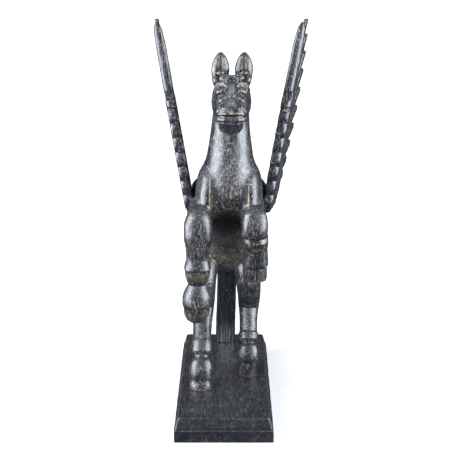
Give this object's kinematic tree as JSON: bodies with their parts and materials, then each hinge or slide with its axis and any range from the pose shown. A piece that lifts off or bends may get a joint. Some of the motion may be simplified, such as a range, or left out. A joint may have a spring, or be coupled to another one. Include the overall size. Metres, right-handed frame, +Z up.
{
  "type": "winged horse sculpture",
  "caption": "Carved wooden winged horse, rearing on its hind legs and tail on a stepped rectangular plinth, wings raised; a free-standing ornament.",
  "frame": {"origin": "middle of the plinth's flat underside", "axes": "+Z up; the horse faces -Y and its right side is -X"},
  "size_m": [0.3814, 0.61, 0.9839],
  "materials": {
    "plinth_wood": "ebonised, limed grain, worn wax",
    "horse_wood": "ebonised, limed grain, semi-gloss wax with worn edges",
    "wing_wood": "ebonised, limed grain, semi-gloss wax with worn edges"
  },
  "bodies": {
    "root": {"plinth": "plinth_wood", "horse": "horse_wood", "right_wing": "wing_wood", "left_wing": "wing_wood"}
  },
  "joints": []
}
